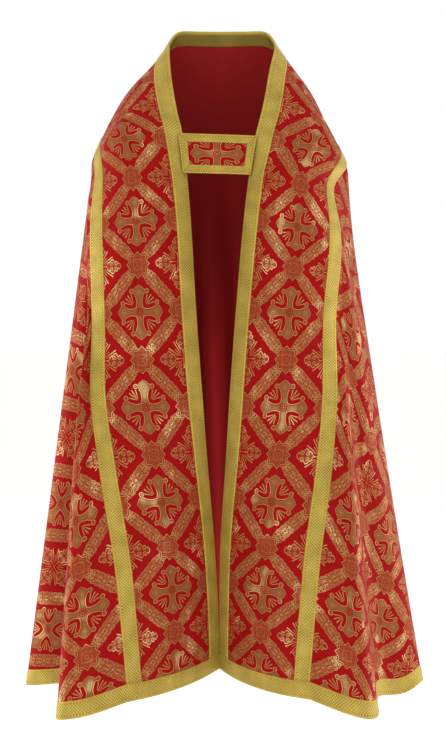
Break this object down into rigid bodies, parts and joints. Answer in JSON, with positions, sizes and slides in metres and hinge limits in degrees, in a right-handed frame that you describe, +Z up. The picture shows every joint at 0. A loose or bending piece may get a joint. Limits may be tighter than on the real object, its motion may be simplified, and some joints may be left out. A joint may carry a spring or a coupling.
{
  "type": "cope",
  "caption": "Full-length semicircular ceremonial cloak of lined brocade with gold galloon edging, worn open in front and held at the chest by a morse.",
  "frame": {"origin": "on the wearer's axis, at the height of the shoulders, where the wearer carries the cope", "axes": "+Z up, the wearer faces -Y, +X is the wearer's left"},
  "size_m": [0.8199, 0.7523, 1.409],
  "materials": {
    "brocade": "red satin ground with a woven gold pattern",
    "lining": "smooth deep crimson lining cloth",
    "gold_galloon": "flat woven gold braid with toothed edges"
  },
  "bodies": {
    "root": {"cope_body": "brocade", "lining": "lining", "edge_galloon": "gold_galloon", "outer_galloon": "gold_galloon", "hem_galloon": "gold_galloon", "neck_galloon": "gold_galloon", "morse": "brocade", "morse_galloon_top": "gold_galloon", "morse_galloon_bottom": "gold_galloon", "morse_galloon_right": "gold_galloon", "morse_galloon_left": "gold_galloon"}
  },
  "joints": []
}
